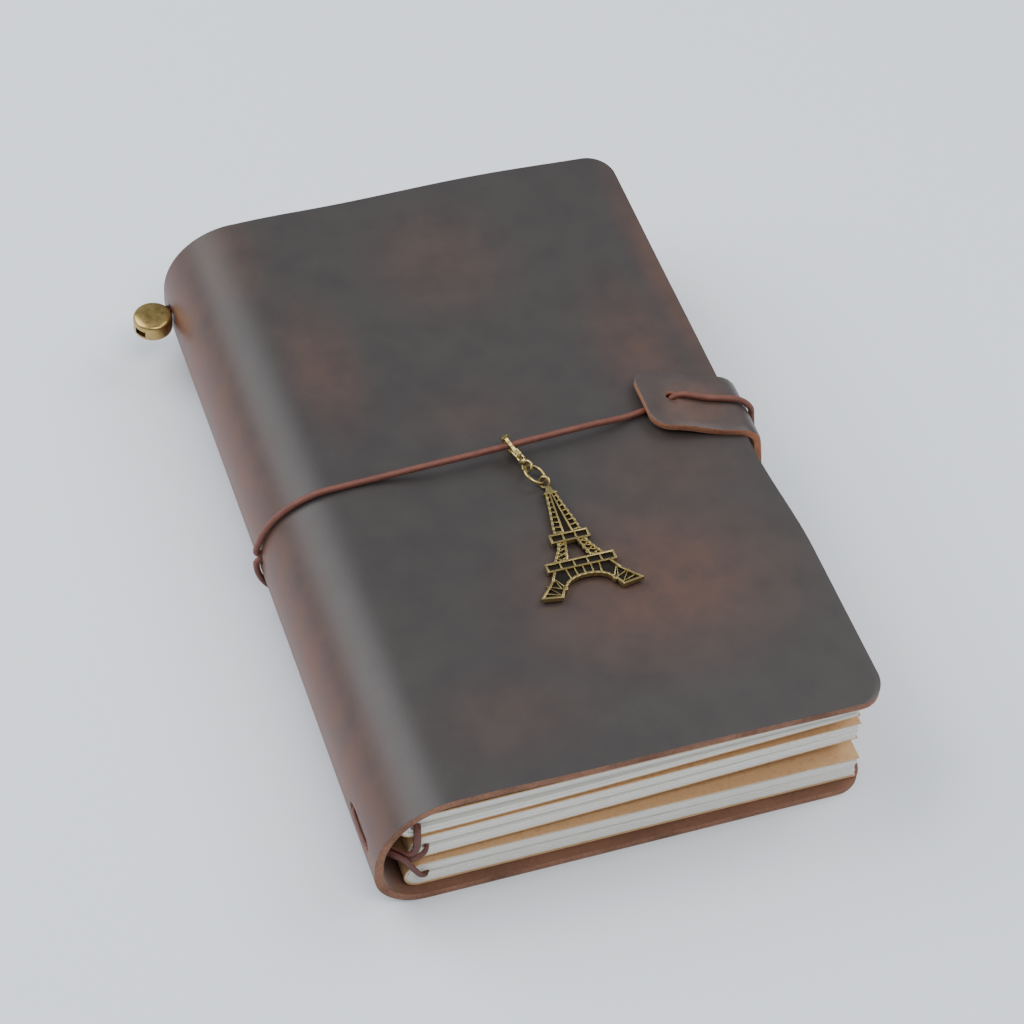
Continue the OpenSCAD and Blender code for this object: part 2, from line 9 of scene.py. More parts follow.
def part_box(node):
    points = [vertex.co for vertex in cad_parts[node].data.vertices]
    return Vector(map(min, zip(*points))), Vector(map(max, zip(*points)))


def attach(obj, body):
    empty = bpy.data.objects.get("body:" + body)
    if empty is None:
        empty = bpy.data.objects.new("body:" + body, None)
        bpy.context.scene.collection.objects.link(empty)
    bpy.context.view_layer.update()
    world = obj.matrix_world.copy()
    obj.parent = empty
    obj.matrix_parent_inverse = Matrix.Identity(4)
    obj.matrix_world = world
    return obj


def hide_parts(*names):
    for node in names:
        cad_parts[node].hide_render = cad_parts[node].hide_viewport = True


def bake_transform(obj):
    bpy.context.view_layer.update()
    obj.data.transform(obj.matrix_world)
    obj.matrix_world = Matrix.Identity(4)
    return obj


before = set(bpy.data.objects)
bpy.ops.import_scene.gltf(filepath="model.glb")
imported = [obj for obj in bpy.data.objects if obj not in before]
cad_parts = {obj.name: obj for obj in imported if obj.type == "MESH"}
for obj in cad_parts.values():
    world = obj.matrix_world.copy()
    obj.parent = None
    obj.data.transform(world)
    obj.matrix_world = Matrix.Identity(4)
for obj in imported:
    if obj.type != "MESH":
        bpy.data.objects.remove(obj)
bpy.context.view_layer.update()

# ---- Leather cover ----------------------------------------------------------------
# One sheet of waxed cowhide, dark outside and suede inside, cut with a knife so that its
# edge shows the tan middle of the hide. It is only folded: the hide takes a soft bend
# over the booklets, and four holes are punched in a row down the spine.

mm = 0.001
spine_low, spine_high = (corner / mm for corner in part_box("spine_leather"))
back_low, back_high = (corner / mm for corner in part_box("back_cover"))
hide = spine_high.x - spine_low.x
width = back_high.x - spine_low.x
length = back_high.y - back_low.y
middle = length / 2
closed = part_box("front_bend")[1].z / mm

cord_thick = 2.0
tab_thick = 2.0
holes_z = 17.3
foot_holes = (7.0, 19.0)
head_hole = length - 7.0
loop_hole = middle + 1.0
corner = 8.0
split_z = 14.5
low_bend = (14.0, 14.4)
high_bend = (20.0, 18.0)


def at(x, y, z):
    """A place in the row frame, from millimetres off the spine, the foot and the table."""
    return Vector((spine_low.x + x, back_low.y + y, z)) * mm


def ease(t):
    t = min(1.0, max(0.0, t))
    return t * t * (3 - 2 * t)


def hill(t):
    return math.exp(-t * t)


def arch(x, y):
    """Rise of the back cover over the cord and the tab that pass under it."""
    along = (cord_thick + 0.3) + (0.2 + tab_thick) * min(1.0, max(0.0, x / (width - 25)))
    return along * ease((0.42 * length - abs(y - middle)) / (0.27 * length))


def ripple(x, y, size):
    return size * noise.noise(Vector((x / 38, y / 46, size)))


def roof(x, y):
    """Height of the front cover's outside."""
    dome = 0.45 * hill((x - 29) / 15) - 0.6 * ease((x - 84) / 46)
    puff = 1.5 * hill((x - 92) / 40) * ease((y - 150) / 50)
    held = ease((x - 12) / 45) * (1 - 0.6 * ease((x - 92) / 30))
    pinch = -1.0 * hill((y - 0.45 * length) / 50) * held
    return closed + 0.1 + dome + puff + pinch + ripple(x, y, 0.25)


def corner_cut(y):
    d = max(0.0, min(y, length - y))
    return corner - math.sqrt(max(0.0, corner**2 - (corner - d) ** 2)) if d < corner else 0


def back_line(y):
    """Outside of the lower sheet, from its fore-edge round to the middle of the spine."""
    end = width - corner_cut(y)
    bend, top = low_bend
    sole = [bend + (end - bend) * k / 46 for k in range(46, 0, -1)]
    rise = arch(bend, y)
    turn = [math.radians(5 * k) for k in range(19)]
    line = [(x, arch(x, y)) for x in sole]
    line += [(bend - bend * math.sin(a), top - (top - rise) * math.cos(a)) for a in turn]
    return [(x, y, z) for x, z in line] + [(0.0, y, split_z)]


def front_line(y):
    """Outside of the upper sheet, from the middle of the spine to its fore-edge."""
    end = width + 0.7 - 2.2 * ease((y - 50) / 36) - 0.9 * corner_cut(y)
    bend, start = high_bend
    line = [(0.0, z) for z in (split_z, 15.4, 16.3, 17.2)]
    for k in range(25):
        a = math.radians(90 * k / 24)
        line.append((bend - bend * math.cos(a), start + (roof(bend, y) - start) * math.sin(a)))
    line += [(x, roof(x, y)) for x in (bend + (end - bend) * k / 52 for k in range(1, 53))]
    lean = [0.2 * ease((z - split_z) / (closed - split_z)) for _, z in line]
    low, high = foot_holes
    dent = [0.55 * hill((z - holes_z) / 1.6) * ease((y - low + 2) / 3)
            * ease((high + 2 - y) / 3) for _, z in line]
    return [(x + d, y + s, z) for (x, z), s, d in zip(line, lean, dent)]


def recalculated(shape):
    bmesh.ops.recalc_face_normals(shape, faces=shape.faces)
    return shape


def piece(name, shape, *materials):
    """Makes a shape into an object with smooth faces, and leaves its place as drawn."""
    mesh = bpy.data.meshes.new(name)
    recalculated(shape).to_mesh(mesh)
    shape.free()
    made = bpy.data.objects.new(name, mesh)
    bpy.context.scene.collection.objects.link(made)
    for material in materials:
        mesh.materials.append(material)
    mesh.shade_smooth()
    return made


def settled(made):
    """Applies the piece's modifiers to its mesh."""
    graph = bpy.context.evaluated_depsgraph_get()
    done = bpy.data.meshes.new_from_object(made.evaluated_get(graph))
    made.modifiers.clear()
    made.data = done
    return made


def softened(made, size, steps=2, by_weight=False):
    bevel = made.modifiers.new("rounded edge", "BEVEL")
    bevel.width = size * mm
    bevel.segments = steps
    bevel.limit_method = "WEIGHT" if by_weight else "ANGLE"
    bevel.angle_limit = math.radians(40)
    return settled(made)


def sheet_of(lines, thickness, open_end=None):
    """A closed sheet of the given thickness under lines of points, one line a row.

    Faces get material 0 outside, 1 on the cut edge and 2 inside. The edges to be rounded
    are weighted, apart from those at open_end, the column where two sheets meet."""
    shape = bmesh.new()
    weight = shape.edges.layers.float.new("bevel_weight_edge")
    skins = [[], []]
    for line in lines:
        rows = [[], []]
        last = len(line) - 1
        for k, (x, y, z) in enumerate(line):
            a, b = line[max(k - 1, 0)], line[min(k + 1, last)]
            dx, dz = b[0] - a[0], b[2] - a[2]
            size = math.hypot(dx, dz)
            rows[0].append(shape.verts.new(at(x, y, z)))
            rows[1].append(shape.verts.new(
                at(x + dz / size * thickness, y, z - dx / size * thickness)))
        skins[0].append(rows[0])
        skins[1].append(rows[1])
    rows, columns = len(lines), len(lines[0])
    for skin, slot in zip(skins, (0, 2)):
        for r in range(rows - 1):
            for c in range(columns - 1):
                quad = (skin[r][c], skin[r][c + 1], skin[r + 1][c + 1], skin[r + 1][c])
                shape.faces.new(quad).material_index = slot
    top, under = skins
    border = [[(0, c) for c in range(columns)], [(rows - 1, c) for c in range(columns)],
              [(r, 0) for r in range(rows)], [(r, columns - 1) for r in range(rows)]]
    for side, run in enumerate(border):
        for (r, c), (s, d) in zip(run, run[1:]):
            cut = shape.faces.new((top[r][c], top[s][d], under[s][d], under[r][c]))
            cut.material_index = 1
            joined = open_end is not None and side == (2 if open_end == 0 else 3)
            for skin in skins:
                edge = shape.edges.get((skin[r][c], skin[s][d]))
                edge[weight] = 0.0 if joined else 1.0
                edge.smooth = not joined
    return shape


def tint(code, alpha=1.0):
    """An sRGB hex colour as linear values."""
    parts = [int(code[k:k + 2], 16) / 255 for k in (1, 3, 5)]
    linear = [c / 12.92 if c <= 0.04045 else ((c + 0.055) / 1.055) ** 2.4 for c in parts]
    return (*linear, alpha)


def add(material, kind, inputs=None, **settings):
    """Adds a node. An input's value is a number, a colour or another node's output."""
    made = material.node_tree.nodes.new(kind)
    for name, value in settings.items():
        setattr(made, name, value)
    for name, value in (inputs or {}).items():
        if isinstance(value, bpy.types.NodeSocket):
            material.node_tree.links.new(value, made.inputs[name])
        else:
            made.inputs[name].default_value = value
    return made


def finish_named(name):
    material = bpy.data.materials.new(name)
    material.use_nodes = True
    return material, material.node_tree.nodes["Principled BSDF"]


def join(material, output, socket):
    material.node_tree.links.new(output, socket)


def placed(material):
    return add(material, "ShaderNodeTexCoord").outputs["Object"]


def speckled(material, place, size, detail, rough=0.5):
    """Noise whose patches are size millimetres wide."""
    return add(material, "ShaderNodeTexNoise", {"Vector": place, "Scale": 1 / (size * mm),
               "Detail": detail, "Roughness": rough}).outputs["Fac"]


def spread(material, value, low, high, to_low=0.0, to_high=1.0):
    """A value's range from low to high, stretched to another range."""
    return add(material, "ShaderNodeMapRange", {"Value": value, "From Min": low,
               "From Max": high, "To Min": to_low, "To Max": to_high}).outputs["Result"]


def mixed(material, share, first, second):
    return add(material, "ShaderNodeMixRGB", {"Fac": share, "Color1": first,
               "Color2": second}).outputs["Color"]


def relief(material, skin, height, strength, depth):
    """Gives the skin bumps up to depth millimetres high."""
    bump = add(material, "ShaderNodeBump", {"Height": height, "Strength": strength,
               "Distance": depth * mm})
    join(material, bump.outputs["Normal"], skin.inputs["Normal"])


def maths(material, operation, first, second):
    return add(material, "ShaderNodeMath", {0: first, 1: second},
               operation=operation).outputs[0]


def waxed_cowhide(name, ground, lighter, warm, patches):
    """Oiled and waxed cowhide: near-black brown with a satin wax finish. Where it was bent
    or rubbed the oil moves away and the hide shows warmer, in soft-edged patches."""
    material, skin = finish_named(name)
    place = placed(material)
    clouds = speckled(material, place, 70, 4.0, 0.55)
    mottle = speckled(material, place, 9, 6.0, 0.65)
    blend = maths(material, "MULTIPLY", clouds, mottle)
    blend = spread(material, blend, 0.14, 0.38)
    colour = mixed(material, blend, tint(ground), tint(lighter))
    rubbed = None
    for spot, reach, strength in patches:
        gap = add(material, "ShaderNodeVectorMath", {0: place, 1: spot}, operation="SUBTRACT")
        wide = add(material, "ShaderNodeVectorMath", {0: gap.outputs[0],
                   1: [1 / (r * mm) for r in reach]}, operation="MULTIPLY")
        far = add(material, "ShaderNodeVectorMath", {0: wide.outputs[0]}, operation="LENGTH")
        near = add(material, "ShaderNodeMapRange", {"Value": far.outputs["Value"],
                   "From Min": 1.0, "From Max": 0.0, "To Max": strength},
                   interpolation_type="SMOOTHSTEP").outputs["Result"]
        rubbed = near if rubbed is None else maths(material, "MAXIMUM", rubbed, near)
    if rubbed is not None:
        broken = spread(material, mottle, 0.05, 0.6)
        rubbed = maths(material, "MULTIPLY", rubbed, broken)
        colour = mixed(material, rubbed, colour, tint(warm))
    join(material, colour, skin.inputs["Base Color"])
    rough = spread(material, mottle, 0.3, 0.7, 0.39, 0.47)
    join(material, rough, skin.inputs["Roughness"])
    # Hair pores lie about 0.5 mm apart; they are drawn at 0.9 mm so that they show.
    pores = add(material, "ShaderNodeTexVoronoi", {"Vector": place, "Scale": 1 / (0.9 * mm)})
    depth = maths(material, "ADD", pores.outputs["Distance"], mottle)
    relief(material, skin, depth, 0.22, 0.06)
    skin.inputs["IOR"].default_value = 1.45
    return material


def cut_hide(name, pale, dark):
    """Raw knife-cut edge of vegetable-tanned hide: tan, dry and fibrous."""
    material, skin = finish_named(name)
    place = placed(material)
    fibre = speckled(material, place, 0.7, 3.0, 0.7)
    patch = speckled(material, place, 12, 2.0)
    both = maths(material, "ADD", fibre, patch)
    share = spread(material, both, 0.75, 1.25)
    colour = mixed(material, share, tint(dark), tint(pale))
    join(material, colour, skin.inputs["Base Color"])
    relief(material, skin, fibre, 0.7, 0.25)
    skin.inputs["Roughness"].default_value = 0.85
    return material


def suede_inside(name, colour_code, shade_code):
    """Flesh side of the hide, brushed to a short nap that scatters light."""
    material, skin = finish_named(name)
    place = placed(material)
    nap = speckled(material, place, 1.1, 5.0, 0.75)
    brushed = speckled(material, place, 18, 3.0)
    both = maths(material, "ADD", nap, brushed)
    share = spread(material, both, 0.7, 1.3)
    colour = mixed(material, share, tint(shade_code), tint(colour_code))
    join(material, colour, skin.inputs["Base Color"])
    relief(material, skin, nap, 0.6, 0.3)
    skin.inputs["Roughness"].default_value = 0.95
    skin.inputs["Sheen Weight"].default_value = 0.25
    return material


worn = [(at(70, 172, closed), (26, 28, 14), 0.16), (at(28, 142, closed), (15, 34, 14), 0.25),
        (at(62, 116, closed), (24, 14, 14), 0.08), (at(88, 50, closed), (50, 38, 16), 0.42),
        (at(112, 128, closed), (18, 36, 14), 0.26), (at(104, 84, closed), (30, 24, 14), 0.14),
        (at(-3, 100, 13), (21, 900, 40), 1.00), (at(129, 150, closed), (10, 70, 9), 0.40),
        (at(40, 20, closed), (30, 18, 12), 0.12), (at(12, 190, closed), (18, 34, 18), 0.22)]
cowhide = waxed_cowhide("waxed cowhide", "#363232", "#3a3635", "#6b4433", worn)
cut_edge = cut_hide("cut hide edge", "#93674f", "#65422f")
flesh_side = suede_inside("suede flesh side", "#7d5540", "#5d3d2c")

rows = [corner * (1 - math.cos(math.radians(7.5 * k))) for k in range(13)]
rows = sorted(set(rows + [k * 1.0 for k in range(9, 24)]
                  + [24 + (length - 24 - corner) * k / 44 for k in range(45)]
                  + [length - r for r in rows]))
rows = [y for y, after in zip(rows, rows[1:] + [1e9]) if after - y > 0.05]

lower_cover = piece("leather_cover_back", sheet_of([back_line(y) for y in rows], hide,
                    open_end=1), cowhide, cut_edge, flesh_side)
softened(lower_cover, 0.35, by_weight=True)
upper_cover = piece("leather_cover_front", sheet_of([front_line(y) for y in rows], hide,
                    open_end=0), cowhide, cut_edge, flesh_side)
softened(upper_cover, 0.35, by_weight=True)


def punched(made, place, direction, radius, depth, slot=1):
    """Cuts a round hole through a piece. place is the middle of the hole."""
    tool = bmesh.new()
    bmesh.ops.create_cone(tool, cap_ends=True, segments=32, radius1=radius * mm,
                          radius2=radius * mm, depth=depth * mm)
    turn = Vector(direction).to_track_quat("Z", "Y").to_matrix().to_4x4()
    bmesh.ops.transform(tool, matrix=Matrix.Translation(place) @ turn, verts=tool.verts)
    for face in tool.faces:
        face.material_index = slot
    punch = piece("punch", tool, *made.data.materials)
    cut = made.modifiers.new("hole", "BOOLEAN")
    cut.operation = "DIFFERENCE"
    cut.solver = "MANIFOLD"
    cut.object = punch
    settled(made)
    bpy.data.objects.remove(punch)


for y, radius in ((foot_holes[0], 1.3), (foot_holes[1], 1.3), (loop_hole, 2.3),
                  (head_hole, 1.5)):
    punched(upper_cover, at(1, y, holes_z), (1, 0, 0), radius, 12)

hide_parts("back_cover", "back_bend")
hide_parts("spine_leather", "front_bend", "front_cover")
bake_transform(lower_cover)
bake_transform(upper_cover)

# ---- Booklets ---------------------------------------------------------------------
# Three stapled booklets of uncoated off-white paper in kraft card. Each is one stack of
# sheets folded together, so the sheets nest in a U at the fold and fan a little at the
# fore-edge, and the knife leaves them not quite level.

random.seed(7)
sheet_groups = 6
turn_steps = 10
flat_steps = 14


def paper_finish(name, face_code, shadow_code):
    """Uncoated writing paper: matt, faintly warm, every sheet at the cut parted by painted shade."""
    material, skin = finish_named(name)
    place = placed(material)
    layer = add(material, "ShaderNodeAttribute", attribute_name="layer").outputs["Fac"]
    # Sheets are 0.1 mm thick; the dark lines between them are painted shade, drawn 0.34 mm apart.
    grain = speckled(material, place, 14, 3.0)
    shifted = add(material, "ShaderNodeMath", {0: grain, 1: 0.25, 2: layer},
                  operation="MULTIPLY_ADD").outputs[0]
    wave = maths(material, "MULTIPLY", shifted, 2 * math.pi / 0.34)
    wave = add(material, "ShaderNodeMath", {0: wave}, operation="SINE").outputs[0]
    # Painted shade: the share of shadow colour in the gaps between sheets.
    line = spread(material, wave, 0.35, 1.0, 0.0, 0.28)
    colour = mixed(material, line, tint(face_code), tint(shadow_code))
    join(material, colour, skin.inputs["Base Color"])
    relief(material, skin, wave, 0.25, 0.08)
    skin.inputs["Roughness"].default_value = 0.9
    skin.inputs["Subsurface Weight"].default_value = 0.15
    skin.inputs["Subsurface Radius"].default_value = (0.4 * mm, 0.35 * mm, 0.3 * mm)
    return material


def kraft_finish(name, ground, fleck):
    """Unbleached kraft card: tan, matt, with darker wood fibres pressed in."""
    material, skin = finish_named(name)
    place = placed(material)
    fibres = speckled(material, place, 1.4, 6.0, 0.8)
    flecks = spread(material, fibres, 0.5, 0.75, 0.0, 0.6)
    colour = mixed(material, flecks, tint(ground), tint(fleck))
    join(material, colour, skin.inputs["Base Color"])
    relief(material, skin, fibres, 0.3, 0.05)
    skin.inputs["Roughness"].default_value = 0.88
    return material


# The second colour is the painted shade between the sheets.
writing_paper = paper_finish("uncoated paper", "#e6e5de", "#8f8e86")
kraft_card = kraft_finish("kraft card", "#cba478", "#8d6a45")


class Booklet:
    """Where a booklet lies: fold is its paper's end at the spine, and mid its middle."""

    def __init__(self, fold, mid, thick, edge_thick, edge_mid, end, foot, turn=0.0,
                 arched=False):
        self.fold, self.mid, self.thick, self.edge_thick = fold, mid, thick, edge_thick
        self.edge_mid, self.end, self.foot, self.turn = edge_mid, end, foot, turn
        self.arched = arched

    def point(self, x, y, t_share, side, t, edge_t):
        """A point at distance t from the middle at the fold and edge_t at the fore-edge."""
        run = max(0.0, (x - self.fold - self.thick) / (self.end - self.fold - self.thick))
        centre = self.mid + (self.edge_mid - self.mid) * ease(0.5 * run + 0.1) / ease(0.6)
        off = t + (edge_t - t) * ease(run * 0.75) / ease(0.75)
        z = centre + side * off * t_share + (arch(x, y) if self.arched else 0)
        return x, y + self.turn * (x - self.fold) / (self.end - self.fold), z

    def half(self, y, side, t, edge_t, end):
        """Line from the end of the fold to the fore-edge, at t from the middle."""
        pivot = self.fold + self.thick
        turns = [math.radians(90 * k / turn_steps) for k in range(turn_steps + 1)]
        line = [self.point(pivot - t * math.cos(a), y, math.sin(a), side, t, t)
                for a in turns]
        flat = [pivot + (end - pivot) * k / flat_steps for k in range(1, flat_steps + 1)]
        return line + [self.point(x, y, 1.0, side, t, edge_t) for x in flat]


def wrap(shape, layer, lines, marks):
    """A closed solid through rings of points. marks gives each point's layer."""
    rings = [[shape.verts.new(at(*p)) for p in line] for line in lines]
    for ring in rings:
        for vert, mark in zip(ring, marks):
            vert[layer] = mark
    count = len(rings[0])
    for a, b in zip(rings, rings[1:]):
        for k in range(count):
            j = (k + 1) % count
            shape.faces.new((a[k], a[j], b[j], b[k]))
    for ring in (rings[0], rings[-1]):
        for k in range(count // 2 - 1):
            shape.faces.new((ring[k], ring[k + 1], ring[-k - 2], ring[-k - 1]))


def stack(name, book, part, layers, cover, foot, head, *materials):
    """One mesh of nested groups of sheets. part is 'whole', 'fold', 1 (upper) or -1."""
    shape = bmesh.new()
    layer = shape.verts.layers.float.new("layer")
    steps = [foot + (head - foot) * k / 12 for k in range(13)]
    for inner, outer, edge_inner, edge_outer in layers:
        short = 0 if cover else random.uniform(0, 0.35)
        end = book.end + (0.3 if cover else random.uniform(-0.5, 0.1))
        lines = []
        for k, y in enumerate(steps):
            y = y + short if k == 0 else y - short if k == len(steps) - 1 else y
            sides = []
            for t, edge_t in ((outer, edge_outer), (inner, edge_inner)):
                up = book.half(y, 1, t, edge_t, end)
                down = book.half(y, -1, t, edge_t, end)
                if part == "whole":
                    sides.append(down[::-1] + up[1:])
                elif part == "fold":
                    sides.append(down[:turn_steps + 1][::-1] + up[1:turn_steps + 1])
                else:
                    sides.append((up if part == 1 else down)[turn_steps:])
            lines.append(sides[0] + sides[1][::-1])
        half = len(lines[0]) // 2
        wrap(shape, layer, lines, [outer] * half + [inner] * half)
    made = piece(name, shape, *materials)
    made.data.set_sharp_from_angle(angle=math.radians(40))
    return made


def sheet_layers(book, crease, edge_crease, card):
    """Groups of sheets from the crease out to the card, with hair gaps between them."""
    layers = []
    for k in range(sheet_groups):
        low, high = k / sheet_groups, (k + 0.94) / sheet_groups
        full, edge_full = book.thick - card, book.edge_thick - card
        layers.append((crease + (full - crease) * low, crease + (full - crease) * high,
                       edge_crease + (edge_full - edge_crease) * low,
                       edge_crease + (edge_full - edge_crease) * high))
    return layers


card = 0.4
foot_edge = 3.5
books = {
    1: Booklet(6.9, 26.3, 3.8, 1.7, 29.1, 125.2, foot_edge - 0.2, turn=0.2),
    2: Booklet(9.2, 17.2, 4.3, 3.2, 19.1, 126.8, foot_edge - 0.2, turn=1.5),
    3: Booklet(8.4, 7.0, 4.4, 4.0, 6.6, 127.2, foot_edge - 0.9, arched=True),
}
creases = {1: (1.15, 0.25), 2: (0.75, 0.12), 3: (0.55, 0.10)}

for number, book in books.items():
    crease, edge_crease = creases[number]
    groups = sheet_layers(book, crease, edge_crease, card)
    cover_layer = [(book.thick - card + 0.03, book.thick,
                    book.edge_thick - card + 0.03, book.edge_thick)]
    ends = (book.foot, length - book.foot)
    if number == 2:
        parts = {"front": (1, "booklet_2_front"), "back": (-1, "back"), "fold": ("fold", None)}
    else:
        parts = {"": ("whole", "front" if number == 1 else "back")}
    for part, (which, body) in parts.items():
        tail = f"_{part}" if part else ""
        for kind, layers, slot_name, finish in (
                ("pages", groups, "paper", writing_paper),
                ("card", cover_layer, "kraft card", kraft_card)):
            made = stack(f"booklet_{number}_{kind}_stack{tail}", book, which, layers,
                         kind == "card", *ends, finish)
            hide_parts(f"booklet_{number}_{kind}{tail}")
            if body:
                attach(made, body)
            else:
                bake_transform(made)


def smooth_line(points, steps=6):
    """A curve through points, with steps pieces between each two."""
    line = []
    points = [Vector(p) for p in points]
    for k in range(len(points) - 1):
        a, b = points[max(k - 1, 0)], points[k]
        c, d = points[k + 1], points[min(k + 2, len(points) - 1)]
        for j in range(steps):
            t = j / steps
            line.append(0.5 * (2 * b + (c - a) * t + (2 * a - 5 * b + 4 * c - d) * t * t
                               + (3 * b - a - 3 * c + d) * t**3))
    return line + [points[-1]]


def strand(name, paths, wide, high, *materials, sides=12, flat_side=None):
    """Round or flat strands along paths of places in millimetres, with a map of metres
    round and along them."""
    shape = bmesh.new()
    map_layer = shape.loops.layers.uv.new("UVMap")
    for path in paths:
        path = [at(*p) for p in path]
        rings, far = [], [0.0]
        side = None
        for k, p in enumerate(path):
            way = (path[min(k + 1, len(path) - 1)] - path[max(k - 1, 0)]).normalized()
            if side is None:
                side = Vector(flat_side) if flat_side else way.orthogonal()
            side = (side - way * side.dot(way)).normalized()
            up = way.cross(side)
            rings.append([shape.verts.new(
                p + side * math.cos(2 * math.pi * j / sides) * wide / 2 * mm
                + up * math.sin(2 * math.pi * j / sides) * high / 2 * mm)
                for j in range(sides)])
            if k:
                far.append(far[-1] + (p - path[k - 1]).length)
        girth = math.pi * (wide + high) / 2 * mm
        for k in range(len(rings) - 1):
            for j in range(sides):
                i = (j + 1) % sides
                face = shape.faces.new((rings[k][j], rings[k][i], rings[k + 1][i],
                                        rings[k + 1][j]))
                spots = ((j, k), (j + 1, k), (j + 1, k + 1), (j, k + 1))
                for loop, (u, v) in zip(face.loops, spots):
                    loop[map_layer].uv = (u / sides * girth, far[v])
        shape.faces.new(rings[0][::-1])
        shape.faces.new(rings[-1])
    return piece(name, shape, *materials)


def drawn_wire(name, code):
    """Bright drawn steel wire, with faint lines along it from the die."""
    material, skin = finish_named(name)
    place = placed(material)
    marks = speckled(material, place, 0.6, 2.0)
    rough = spread(material, marks, 0.0, 1.0, 0.22, 0.42)
    join(material, rough, skin.inputs["Roughness"])
    skin.inputs["Base Color"].default_value = tint(code)
    skin.inputs["Metallic"].default_value = 1.0
    return material


wire = drawn_wire("drawn steel wire", "#c4c6c8")
staple_places = (0.28 * length, 0.72 * length)
staple_half = 5.8
wire_thick = 0.5
for number, book in books.items():
    crown = book.fold - 0.3
    leg = book.fold + book.thick - creases[number][0]
    paths = []
    for y in staple_places:
        z = book.mid + (arch(book.fold, y) if book.arched else 0)
        head_half = [(crown, y, z), (crown, y + staple_half - 0.4, z),
                     (crown + 0.5, y + staple_half, z), (leg, y + staple_half, z)]
        foot_half = [(x, 2 * y - end_y, z) for x, end_y, z in head_half[:0:-1]]
        paths.append(smooth_line(foot_half + head_half, 4))
    pair = strand(f"booklet_{number}_staple_pair", paths, wire_thick, wire_thick, wire,
                  sides=8)
    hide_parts(f"booklet_{number}_staples")
    if number == 2:
        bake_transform(pair)
    else:
        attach(pair, "front" if number == 1 else "back")

# ---- Binding elastic --------------------------------------------------------------
# Flat woven elastic, red-brown. It goes through each booklet's crease and back to the
# spine's end holes, crosses over itself at the foot, and shows outside the spine as one
# short stitch.


def woven(name, light, dark, pitch):
    """Tight braid of waxed polyester over rubber: two sets of ribs that cross."""
    material, skin = finish_named(name)
    place = add(material, "ShaderNodeUVMap", uv_map="UVMap").outputs["UV"]
    ribs = []
    for angle in (35, -35):
        turned = add(material, "ShaderNodeVectorRotate", {"Vector": place,
                     "Angle": math.radians(angle)}, rotation_type="Z_AXIS").outputs[0]
        ribs.append(add(material, "ShaderNodeTexWave", {"Vector": turned,
                    "Scale": 1 / (pitch * mm) / 3.18, "Distortion": 0.6},
                    bands_direction="Y").outputs["Fac"])
    braid = maths(material, "MULTIPLY", ribs[0], ribs[1])
    wear = speckled(material, place, 3, 4.0)
    share = maths(material, "ADD", braid, wear)
    share = spread(material, share, 0.3, 1.3)
    colour = mixed(material, share, tint(dark), tint(light))
    join(material, colour, skin.inputs["Base Color"])
    relief(material, skin, braid, 0.6, 0.15)
    skin.inputs["Roughness"].default_value = 0.55
    return material


elastic = woven("red-brown woven elastic", "#7a4335", "#44251d", 0.5)
band = (1.9, 1.0)


def mirrored(path):
    """The same route at the head end."""
    return [(x, length - y, z) for x, y, z in path]


def crease_run(book):
    """Route along a booklet's crease."""
    x = book.fold + book.thick + 0.9
    lift = [arch(x, y) if book.arched else 0 for y in (20, 60, 100, 140, 180)]
    return [(x, y, book.mid + up) for y, up in zip((20, 60, 100, 140, 180), lift)]


routes = {
    1: [(2.6, 7.5, 18.6), (5.4, 4.6, 18.4), (8.6, 1.9, 18.0), (10.4, 1.4, 19.4),
        (10.8, 1.4, 22.4), (10.8, 1.5, 25.2), (11.0, 2.6, 27.2), (11.4, 4.8, 27.2)],
    2: [(2.6, 7.0, 17.4), (5.4, 4.0, 16.2), (8.6, 1.6, 16.0), (11.2, 1.3, 16.9),
        (13.2, 2.0, 17.4), (14.2, 3.8, 17.4), (14.4, 6.0, 17.2)],
    3: [(2.6, 7.5, 16.2), (4.8, 3.9, 17.6), (7.4, 1.4, 17.2), (9.6, 0.5, 14.0),
        (11.4, 0.5, 10.6), (12.8, 1.3, 8.2), (13.8, 2.8, 7.2), (14.2, 5.0, 7.0)],
}
for number, foot_route in routes.items():
    book = books[number]
    whole = foot_route + crease_run(book) + mirrored(foot_route)[::-1]
    loop = strand(f"binding_elastic_{number}", [smooth_line(whole)], *band, elastic,
                  flat_side=(0, 0, 1))
    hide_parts(f"binding_loop_{number}")
    if number == 1:
        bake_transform(loop)
    else:
        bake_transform(loop)

low, high = foot_holes
stitch = strand("binding_elastic_stitch", [smooth_line([
    (2.6, low + 0.2, holes_z), (1.0, low, holes_z), (0.15, low + 1.1, holes_z),
    (0.0, low + 3.5, holes_z), (-0.05, (low + high) / 2, holes_z), (0.0, high - 3.5, holes_z),
    (0.15, high - 1.1, holes_z), (1.0, high, holes_z), (2.6, high - 0.2, holes_z)])],
    0.9, 1.5, elastic, flat_side=(1, 0, 0))
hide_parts("binding_stitch")
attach(stitch, "spine")

# ---- Brass bead -------------------------------------------------------------------
# Turned brass bead that hides the knotted ends of the elastic outside the spine. Its rim
# is chamfered, its top slightly domed, and a slot is milled right through its side.


def brass(name, bright, dull, dark_share, rough):
    """Cast or turned brass, aged in a bath and rubbed back, so it stays dark in its
    hollows and golden where it stands proud."""
    material, skin = finish_named(name)
    place = placed(material)
    cloud = speckled(material, place, 2.2, 5.0, 0.65)
    ridge = add(material, "ShaderNodeNewGeometry").outputs["Pointiness"]
    proud = spread(material, ridge, 0.44, 0.56, -0.25, 0.25)
    share = maths(material, "ADD", cloud, proud)
    share = spread(material, share, dark_share, dark_share + 0.3)
    colour = mixed(material, share, tint(dull), tint(bright))
    join(material, colour, skin.inputs["Base Color"])
    shine = spread(material, cloud, 0.0, 1.0, rough - 0.08, rough + 0.12)
    join(material, shine, skin.inputs["Roughness"])
    relief(material, skin, cloud, 0.25, 0.05)
    skin.inputs["Metallic"].default_value = 1.0
    return material


